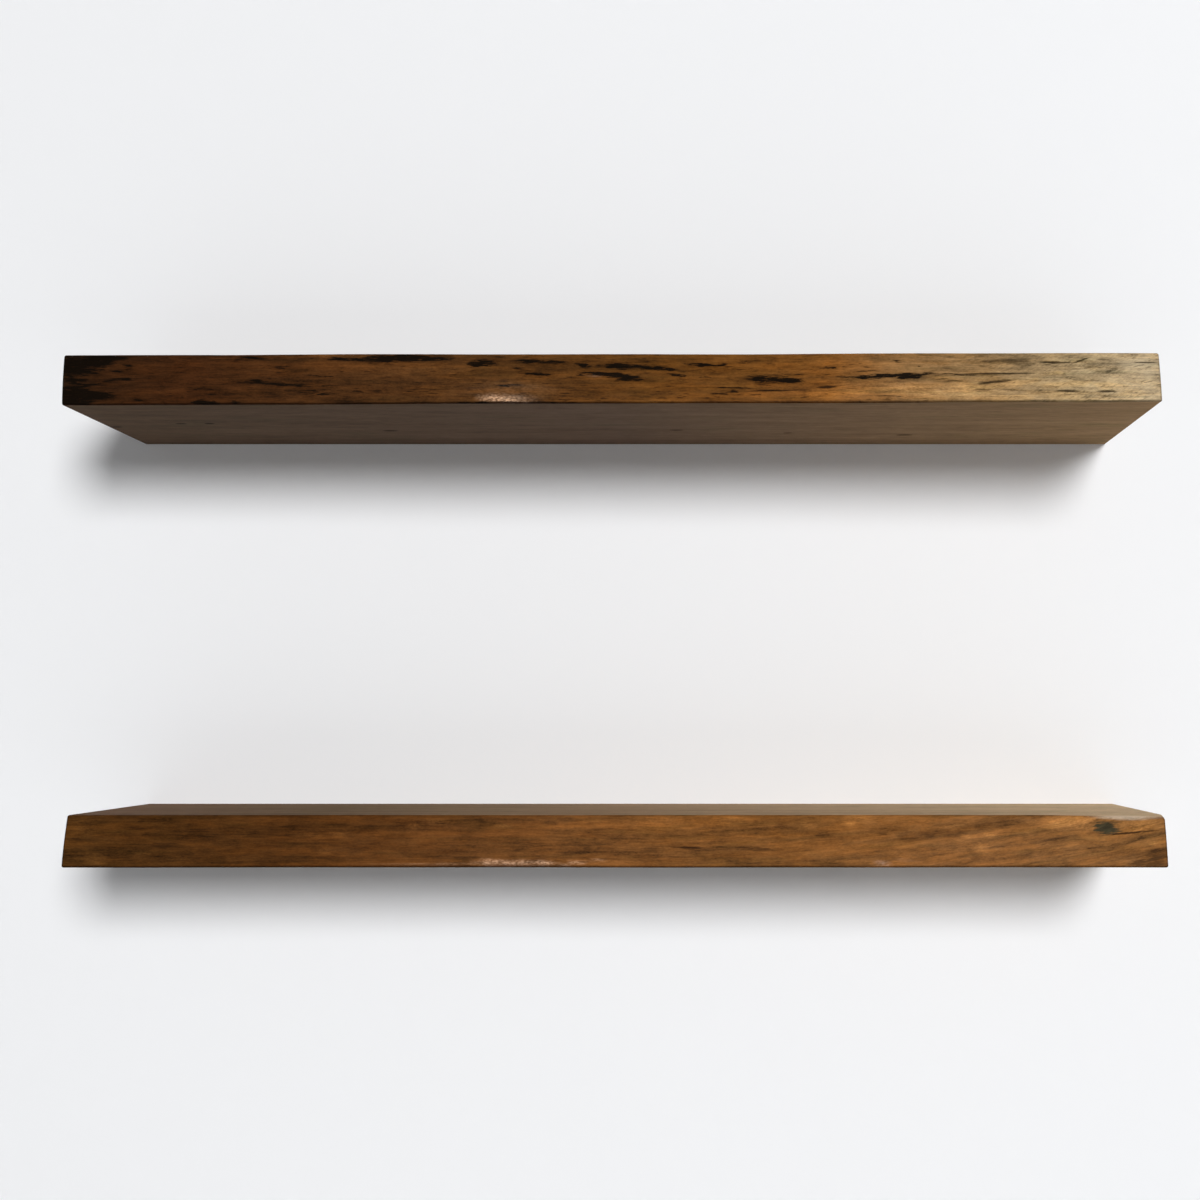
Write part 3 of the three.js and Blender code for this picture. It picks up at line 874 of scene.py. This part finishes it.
def shapeFace(name, block, board):
    # the natural edge: waves, a slight bow, small bumps, and the wider round of the brow at its right end
    low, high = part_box(name + "_slab")
    thickness = high.z - low.z
    skin = boardShape["skin"]
    for vert in block.data.vertices:
        place = vert.co
        along = (place.x - low.x) / (high.x - low.x)
        up = (place.z - low.z) / thickness
        out = faceOut(board, low, high, place)
        nearness = smoothStep(-place.y, out - boardShape["shapedDepth"], out - skin)
        if nearness == 0:
            continue
        footPhase, browPhase = board["phases"]
        shift = blend(wave(place.x, footPhase), wave(place.x, browPhase), up)
        shift += boardShape["faceBow"] * (1 - (2 * up - 1) ** 2)
        onFace = smoothStep(-place.y, out - boardShape["bumpDepth"], out - skin)
        endFade = smoothStep(0.5 - abs(along - 0.5), 0, boardShape["endFade"])
        place.y -= shift * nearness + unevenness(place) * onFace * endFade
        slope = blend(*board["lean"], along) / thickness
        roundBrow(place, out + shift, slope, low, high, board, along)
    block.data.update()


def roundBrow(place, out, slope, low, high, board, along):
    # draws the brow in to an arc that grows towards the right end, and follows the ease at that end
    ease = boardShape["frontEase"]
    radius = blend(ease, board["rightRound"], smoothStep(along, boardShape["roundFrom"], 1))
    below = high.z - place.z
    inside = out + slope * below + place.y
    if radius <= ease or below > radius or inside > radius:
        return
    past = min(ease, max(0, place.x - (high.x - ease)))
    inset = ease - math.sqrt(ease ** 2 - past ** 2)
    reach = Vector((inside - radius, below - radius))
    if reach.length > radius - inset:
        reach = reach.normalized() * (radius - inset)
        place.z = high.z - radius - reach.y
        place.y = radius + reach.x - out - slope * (radius + reach.y)


markFade = (0.1, 1.7)  # where a mark starts to fade and where it is gone, in its half sizes
paintDepth = 6 * mm  # how far behind the plain face a vertex still takes the marks

markWander = {  # in millimetres: how far, over what length along and up, and a layer of the noise
    "along": [(3.5, 18, 5, 3)],
    "up": [(1.1, 13, 4, 9), (0.45, 5, 2, 5)],
}


def markStrength(marks, along, up):
    # how strongly the marks together cover a place
    clear = 1
    for centreAlong, centreUp, length, height, strength, *slopes in marks:
        across = (along - centreAlong) / (length / 2)
        if abs(across) > markFade[1]:
            continue
        over = (up - centreUp - sum(slopes) * (along - centreAlong)) / (height / 2)
        if abs(over) < markFade[1]:
            clear *= 1 - strength * (1 - smoothStep(math.hypot(across, over), *markFade))
    return 1 - clear


def stray(waves, along, up):
    total = 0
    for reach, length, height, layer in waves:
        total += reach * noise.noise(Vector((along / length, up / height, layer)))
    return total


def wanderPlace(along, up):
    # the marks' outlines wander as the wood's do
    return along + stray(markWander["along"], along, up), up + stray(markWander["up"], along, up)


def paintMarks(name, block, board):
    # per-vertex values that the wood's finish reads
    low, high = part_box(name + "_slab")
    kinds = ("stain", "glow", "pale", "shine")
    for kind in kinds:
        block.data.attributes.new(kind, "FLOAT", "POINT")
    layers = {kind: block.data.attributes[kind].data for kind in kinds}
    for vert in block.data.vertices:
        place = vert.co
        if faceOut(board, low, high, place) + place.y > paintDepth:
            continue
        lift = blend(*board["markLift"], (place.x - low.x) / (high.x - low.x))
        along, up = wanderPlace((place.x - low.x) / mm, (place.z - low.z) / mm + lift)
        for kind in kinds:
            layers[kind][vert.index].value = markStrength(board[kind + "s"], along, up)


def cutBack(block, cutter):
    # the channel and bores, and bare wood on the back
    combine(block, cutter, material_mode="TRANSFER")
    for face in block.data.polygons:
        if face.normal.y > boardShape["backFacing"]:
            face.material_index = 1


def makeBoard(name, board, cutter):
    block = blockOut(name, board)
    easeEdges(block)
    cutFiner(block)
    shapeFace(name, block, board)
    low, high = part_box(name + "_slab")
    block.data.materials.append(lacqueredWood(name, woods[name], low, high))
    block.data.materials.append(sawnWood)
    cutBack(block, cutter)
    paintMarks(name, block, board)
    smoothByAngle(block, boardShape["crease"])
    applyModifier(block, "WEIGHTED_NORMAL", keep_sharp=True)
    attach(block, name + "_shelf")
    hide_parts(name + "_slab")
    print(name, "board made,", len(block.data.polygons), "faces")


# Rails, rods and the hollows that they fill

railShape = {
    "corner": 5 * mm,
    "edge": 0.6 * mm,
    "clearance": 1 * mm,
    "channelSpare": 0.5 * mm,
    "cornerSteps": 6,
    "edgeSteps": 3,
    "sharpFrom": 50,  # degrees
    "crease": 40,
}

rodShape = {
    "radius": 6.35 * mm,
    "tipChamfer": 1.5 * mm,
    "weldLeg": 3.5 * mm,
    "boreClearance": 0.35 * mm,
    "boreDepth": 161 * mm,
    "drillPoint": 118,  # degrees
    "drillBlunt": 0.02,  # share of the drill's point that is left off
    "sides": 48,
}

overrun = 4 * mm
shelfNames = ("lower", "upper")
rodSides = ("left", "middle", "right")
screwNumbers = (1, 2, 3, 4)


def railBlock(name, low, high, corner, edge):
    # a flat bar with round corners
    bar = addShape("cube", name, high - low, size=1, location=(low + high) / 2)
    edit(bar)
    pick(bar, "EDGE", lambda e: abs(span(e).y) > abs(span(e).x) + abs(span(e).z))
    bpy.ops.mesh.bevel(offset=corner, segments=railShape["cornerSteps"], affect="EDGES")
    leaveEdit()
    if edge:
        settings = {"limit_method": "ANGLE", "angle_limit": math.radians(railShape["sharpFrom"])}
        applyModifier(bar, "BEVEL", width=edge, segments=railShape["edgeSteps"], **settings)
    return bar


def hollowCutter(name):
    # channel and bores as one cutter
    low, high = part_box(name + "_wall_rail")
    grow = Vector((railShape["clearance"], 0, railShape["clearance"]))
    floor = -low.y + railShape["channelSpare"]
    start = low - grow - Vector((0, railShape["channelSpare"], 0))
    end = high + grow + Vector((0, overrun, 0))
    cutter = railBlock(name + "_hollow", start, end, railShape["corner"] + grow.x, 0)
    bore = rodShape["radius"] + rodShape["boreClearance"]
    mouth = bore + rodShape["weldLeg"]
    point = bore / math.tan(math.radians(rodShape["drillPoint"] / 2))
    rings = [(0, mouth), (floor, mouth), (floor + rodShape["weldLeg"], bore), (rodShape["boreDepth"], bore)]
    blunt = rodShape["drillBlunt"]
    rings.append((rodShape["boreDepth"] + (1 - blunt) * point, blunt * bore))
    for side in rodSides:
        centre = nodeCentre(f"{name}_rod_{side}")
        combine(cutter, turnRings("drill", rings, rodShape["sides"], centre), "UNION")
    cutter.data.materials.append(sawnWood)
    return cutter


sawnWood = rawWood()
for boardName, boardSettings in boards.items():
    makeBoard(boardName, boardSettings, hollowCutter(boardName))


# Fixings: each is modelled once in the lower shelf's plane and copied to its places

screwShape = {
    "radius": 3 * mm,
    "rootRadius": 2.3 * mm,
    "headRadius": 5.8 * mm,
    "rimHeight": 0.5 * mm,
    "sink": 0.3 * mm,  # head below the rail's room face
    "length": 60 * mm,
    "point": 7 * mm,
    "plainNeck": 3 * mm,  # under the head, before the thread starts
    "pitch": 2.6 * mm,
    "ringsPerTurn": 9,
    "clearance": 0.35 * mm,
    "starRadius": 2.6 * mm,
    "starDepth": 2.2 * mm,
    "starSides": 72,
    "starLobe": 0.14,  # share of the star's radius
    "rimSoftness": 0.15 * mm,
    "blunt": (0.8 * mm, 0.7 * mm),  # how far from the tip its cone ends, and how thick
    "tipRadius": 0.1 * mm,
    "crest": 0.32,  # half the crest's width, as a share of the pitch
    "threadEnd": 1.2 * mm,  # bare tip
    "pointEdge": 4 * mm,  # edges longer than this run along the point or the shank
    "shankEdge": 20 * mm,  # and longer than this, along the shank
    "runIn": 2 * mm,
    "sides": 28,
    "crease": 38,
}

plugShape = {
    "radius": 5 * mm,
    "bore": 3.3 * mm,
    "sink": 2.6 * mm,
    "length": 50 * mm,
    "collar": 5 * mm,
    "nose": 5 * mm,
    "noseRadius": 4.3 * mm,
    "ribs": 5,
    "ribDepth": 0.6 * mm,
    "ribShares": (0.55, 0.8, 0.95),  # of the pitch: where a rib's slope, the valley and the steep wall end
    "ribLip": 0.05 * mm,
    "slotWidth": 1.2 * mm,
    "slotLength": 31 * mm,
    "softness": 0.3 * mm,
    "sides": 40,
    "crease": 35,
}

rodFinish = {
    "beadRings": [(0, 1), (0.12, 0.98), (0.3, 0.84), (0.5, 0.62), (0.7, 0.38), (0.86, 0.17), (1, 0)],
    "ripples": 21,
    "rippleHeight": 0.22 * mm,
    "rippleOut": (0.1 * mm, 1.2 * mm),  # the ripples grow between these distances from the rod
    "rippleRail": 0.6 * mm,  # and over this distance from the rail
    "worn": (143 * mm, 157 * mm),  # the coat is rubbed away between these distances out
    "softness": 0.2 * mm,
    "tipSoftness": 0.3 * mm,
    "sides": 84,
    "crease": 40,
}


def powderCoat():
    # black powder coat with its fine orange peel, rubbed bright at the rods' tips
    coat = Finish("powderCoat")
    x, y, z = coat.axes(coat.place)
    peel = coat.noise((1.3, 1.3, 1.3), detail=2.0) - 0.5
    cloud = coat.noise((30, 30, 30), detail=3.0) - 0.5
    rub = coat.noise((1.1, 26, 1.1), detail=3.0, shift=(4, 2, 7)) - 0.5
    tip = coat.step(-y, *rodFinish["worn"])
    worn = coat.step(tip * 0.42 + rub, 0.24, 0.36)
    paint = coat.shade(tint(40, 41, 44), 1.0 + cloud * 0.5 + peel * 0.25)
    colour = coat.mix(worn, paint, tint(150, 150, 152))
    roughness = 0.5 + cloud * 0.2 + peel * 0.1 - worn * 0.16
    normal = coat.bump(peel + rub * worn, 0.35, 0.12 * mm)
    return coat.principled({"Base Color": colour, "Roughness": roughness, "Metallic": worn, "Normal": normal})


def zincPlate():
    plate = Finish("zincPlate")
    cloud = plate.noise((6, 9, 6), detail=3.0) - 0.5
    grain = plate.noise((0.7, 0.7, 0.7), detail=2.0) - 0.5
    colour = plate.mix(cloud * 2.0 + 0.5, tint(176, 182, 190), tint(206, 203, 192))
    normal = plate.bump(grain, 0.3, 0.08 * mm)
    roughness = 0.3 + cloud * 0.3 + grain * 0.12
    return plate.principled({"Base Color": colour, "Metallic": 1.0, "Roughness": roughness, "Normal": normal})


def mouldedNylon():
    nylon = Finish("mouldedNylon")
    flow = nylon.noise((4, 22, 4), detail=3.0, warp=0.6) - 0.5
    grain = nylon.noise((0.6, 0.6, 0.6), detail=2.0) - 0.5
    colour = nylon.shade(tint(160, 164, 168), 1.0 + flow * 0.35 + grain * 0.12)
    normal = nylon.bump(grain + flow * 0.5, 0.3, 0.1 * mm)
    roughness = 0.52 + flow * 0.3 + grain * 0.1
    return nylon.principled({"Base Color": colour, "Roughness": roughness, "Normal": normal})


def turnedVerts(piece, reshape):
    # gives reshape each vertex's distance out and angle about the Y axis, and takes its new radius
    for vert in piece.data.vertices:
        radius = math.hypot(vert.co.x, vert.co.z)
        if radius > axisGap:
            grown = reshape(-vert.co.y, math.atan2(vert.co.z, vert.co.x), radius) / radius
            vert.co.x *= grown
            vert.co.z *= grown
    piece.data.update()


def modelRod(railFace, reach):
    radius, leg, chamfer = rodShape["radius"], rodShape["weldLeg"], rodShape["tipChamfer"]
    rings = [(railFace + leg * along, radius + leg * out) for along, out in rodFinish["beadRings"]]
    soft = rodFinish["softness"]
    rings += [(reach - chamfer - soft, radius), (reach - chamfer + soft, radius - soft)]
    rings += [(reach - soft, radius - chamfer), (reach, radius - chamfer - rodFinish["tipSoftness"])]
    rod = turnRings("rod", rings, rodFinish["sides"])
    near, far = rodFinish["rippleOut"]

    def ripple(out, angle, ringRadius):
        # the bead was laid in steps round the rod
        onBead = smoothStep(ringRadius, radius + near, radius + far)
        onBead *= smoothStep(out, railFace, railFace + rodFinish["rippleRail"])
        lap = abs(math.sin(angle * rodFinish["ripples"] / 2))
        return ringRadius - rodFinish["rippleHeight"] * onBead * (1 - lap) * 2

    turnedVerts(rod, ripple)
    smoothByAngle(rod, rodFinish["crease"])
    return rod


def modelRail(node, screwNodes):
    low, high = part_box(node)
    rail = railBlock("rail", low, high, railShape["corner"], railShape["edge"])
    spare = screwShape["clearance"]
    head, shank = screwShape["headRadius"] + spare, screwShape["radius"] + spare
    rim = -low.y - screwShape["sink"] - screwShape["rimHeight"]
    rings = [(-overrun, shank), (rim + shank - head, shank), (rim, head), (overrun - low.y, head)]
    for screwNode in screwNodes:
        combine(rail, turnRings("drill", rings, rodShape["sides"], nodeCentre(screwNode)))
    smoothByAngle(rail, railShape["crease"])
    return rail


def starCutter(top):
    # six soft lobes, a shade deeper than the recess
    settings = {"vertices": screwShape["starSides"], "radius": screwShape["starRadius"], "fill_type": "NGON"}
    star = addShape("circle", "star", location=(0, -top - overrun, 0), rotation=facingRoom, **settings)
    edit(star)
    bpy.ops.mesh.select_all(action="SELECT")
    depth = overrun + screwShape["starDepth"]
    bpy.ops.mesh.extrude_region_move(TRANSFORM_OT_translate={"value": (0, depth, 0)})
    bpy.ops.mesh.select_all(action="SELECT")
    bpy.ops.mesh.normals_make_consistent(inside=False)
    leaveEdit()
    lobe = screwShape["starLobe"]
    turnedVerts(star, lambda out, angle, radius: radius * (1 - lobe + lobe * math.cos(6 * angle)))
    return star


def modelScrew(railFace):
    shape = screwShape
    top = railFace - shape["sink"]
    rim = top - shape["rimHeight"]
    neck = rim - shape["headRadius"] + shape["radius"]
    tip = top - shape["length"]
    threadStart, pointStart = neck - shape["plainNeck"], tip + shape["point"]
    head, shank, soft = shape["headRadius"], shape["radius"], shape["rimSoftness"]
    bluntReach, bluntRadius = shape["blunt"]
    rings = [(top, head - soft), (top - soft, head), (rim, head)]
    rings += [(neck, shank), (threadStart, shank), (pointStart, shank)]
    rings += [(tip + bluntReach, bluntRadius), (tip, shape["tipRadius"])]
    screw = turnRings("screw", rings, shape["sides"])
    edit(screw)
    turns = (threadStart - tip) / shape["pitch"]
    pick(screw, "EDGE", lambda e: abs(span(e).y) > shape["shankEdge"])
    bpy.ops.mesh.subdivide(number_cuts=int(turns * shape["ringsPerTurn"]))
    pick(screw, "EDGE", lambda e: shape["pointEdge"] < abs(span(e).y) < shape["shankEdge"])
    bpy.ops.mesh.subdivide(number_cuts=int(shape["point"] / shape["pitch"] * shape["ringsPerTurn"]))
    leaveEdit()

    def thread(out, angle, radius):
        # a sharp crest that climbs a pitch in each turn, over a thinner root
        if out > threadStart or out < tip + shape["threadEnd"]:
            return radius
        turn = (out / shape["pitch"] + angle / (2 * math.pi)) % 1
        crest = max(0, 1 - abs(turn - 0.5) / shape["crest"])
        runIn = smoothStep(threadStart - out, 0, shape["runIn"])
        root = radius * blend(1, shape["rootRadius"] / shank, runIn)
        return blend(root, radius, crest)

    turnedVerts(screw, thread)
    combine(screw, starCutter(top))
    smoothByAngle(screw, shape["crease"])
    return screw


def slotCutter(end):
    # two crossed blades, longer than the slots
    narrow, wide = plugShape["slotWidth"], 3 * plugShape["radius"]
    length = plugShape["slotLength"] + overrun
    place = (0, end + overrun - length / 2, 0)
    upright = addShape("cube", "blade", (narrow, length, wide), size=1, location=place)
    level = addShape("cube", "blade", (wide, length, narrow), size=1, location=place)
    combine(upright, level, "UNION")
    return upright


def modelPlug():
    shape = plugShape
    mouth = -shape["sink"]
    end = mouth - shape["length"]
    pitch = (shape["length"] - shape["collar"] - shape["nose"]) / shape["ribs"]
    radius, bore, soft = shape["radius"], shape["bore"], shape["softness"]
    valley = radius - shape["ribDepth"]
    rings = [(mouth, bore + soft), (mouth, radius - soft), (mouth - soft, radius)]
    slopeEnd, valleyEnd, wallEnd = (share * pitch for share in shape["ribShares"])
    for i in range(shape["ribs"]):
        start = mouth - shape["collar"] - pitch * i
        rings += [(start, radius), (start - slopeEnd, valley), (start - valleyEnd, valley)]
        rings.append((start - wallEnd, radius - shape["ribLip"]))
    rings += [(end + shape["nose"], radius), (end + soft, shape["noseRadius"])]
    rings += [(end, shape["noseRadius"] - soft), (end, bore), (mouth - soft, bore), (mouth, bore + soft)]
    plug = turnRings("plug", rings, shape["sides"], capped=False)
    combine(plug, slotCutter(-end))
    smoothByAngle(plug, shape["crease"])
    return plug


def placeCopies(model, finish, places):
    # places pairs each new piece's name with the node that it stands for
    model.data.materials.append(finish)
    near, far = model.bound_box[0], model.bound_box[6]
    startX, startZ = (near[0] + far[0]) / 2, (near[2] + far[2]) / 2
    for name, node in places:
        x, z = nodeCentre(node)
        piece = copyPiece(model, name, (x - startX, 0, z - startZ))
        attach(piece, "wall_fixings")
        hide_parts(node)
    bpy.data.objects.remove(model)


railFace = -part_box("lower_wall_rail")[0].y
rodReach = -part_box("lower_rod_middle")[0].y
blackSteel = powderCoat()

places = [(f"{shelf}_{side}_rod", f"{shelf}_rod_{side}") for shelf in shelfNames for side in rodSides]
placeCopies(modelRod(railFace, rodReach), blackSteel, places)
print("rods made")

lowerScrews = [f"lower_screw_{number}" for number in screwNumbers]
places = [(f"{shelf}_rail", f"{shelf}_wall_rail") for shelf in shelfNames]
placeCopies(modelRail("lower_wall_rail", lowerScrews), blackSteel, places)
print("rails made")

numbered = [(shelf, number) for shelf in shelfNames for number in screwNumbers]
places = [(f"{shelf}_wall_screw_{number}", f"{shelf}_screw_{number}") for shelf, number in numbered]
placeCopies(modelScrew(railFace), zincPlate(), places)
print("screws made")

places = [(f"{shelf}_wall_plug_{number}", f"{shelf}_plug_{number}") for shelf, number in numbered]
placeCopies(modelPlug(), mouldedNylon(), places)
print("plugs made")
